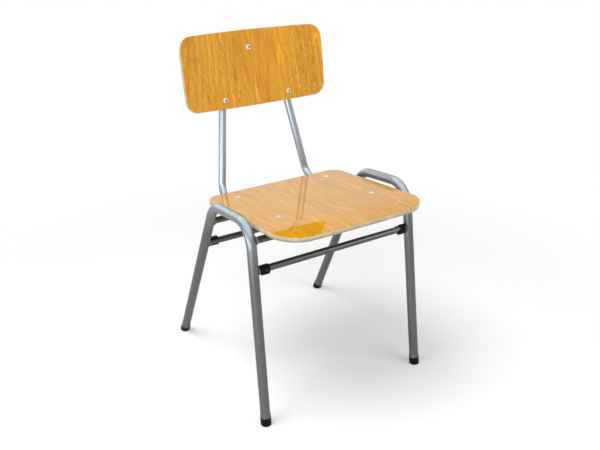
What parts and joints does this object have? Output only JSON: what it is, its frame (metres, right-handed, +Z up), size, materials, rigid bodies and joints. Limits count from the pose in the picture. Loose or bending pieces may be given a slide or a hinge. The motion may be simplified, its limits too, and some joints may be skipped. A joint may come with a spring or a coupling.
{
  "type": "school chair",
  "caption": "Stacking school chair with bent round-tube side frames, glossy pressed-plywood seat and hollowed backrest, black plastic bumpers and foot plugs.",
  "frame": {"origin": "middle of the chair's overall footprint, at floor level", "axes": "+X to the right seen from the front, +Y towards the back of the chair, +Z up"},
  "size_m": [0.4482, 0.5136, 0.7717],
  "materials": {
    "tube_paint": "gloss silver-grey paint",
    "plywood": "clear lacquered sawn edge",
    "wood_face": "high gloss lacquer",
    "zinc_steel": "bright zinc plate",
    "black_plastic": "moulded satin"
  },
  "bodies": {
    "root": {"left_side_frame": "tube_paint", "right_side_frame": "tube_paint", "front_seat_crossbar": "tube_paint", "rear_seat_crossbar": "tube_paint", "front_lower_crossbar": "tube_paint", "rear_lower_crossbar": "tube_paint", "back_hoop": "tube_paint", "bar_weld_fillets": "tube_paint", "rail_weld_fillets": "tube_paint", "seat_core": "plywood", "backrest_core": "plywood", "seat_face_sheet": "wood_face", "seat_under_sheet": "wood_face", "backrest_face_sheet": "wood_face", "backrest_rear_sheet": "wood_face", "seat_bolts": "zinc_steel", "seat_saddle_washers": "zinc_steel", "seat_nuts": "zinc_steel", "backrest_screws": "zinc_steel", "backrest_saddle_washers": "zinc_steel", "backrest_cap_nuts": "zinc_steel", "bumper_rivets": "zinc_steel", "front_left_bumper": "black_plastic", "front_right_bumper": "black_plastic", "rear_left_bumper": "black_plastic", "rear_right_bumper": "black_plastic", "front_left_foot": "black_plastic", "front_right_foot": "black_plastic", "rear_left_foot": "black_plastic", "rear_right_foot": "black_plastic"}
  },
  "joints": []
}
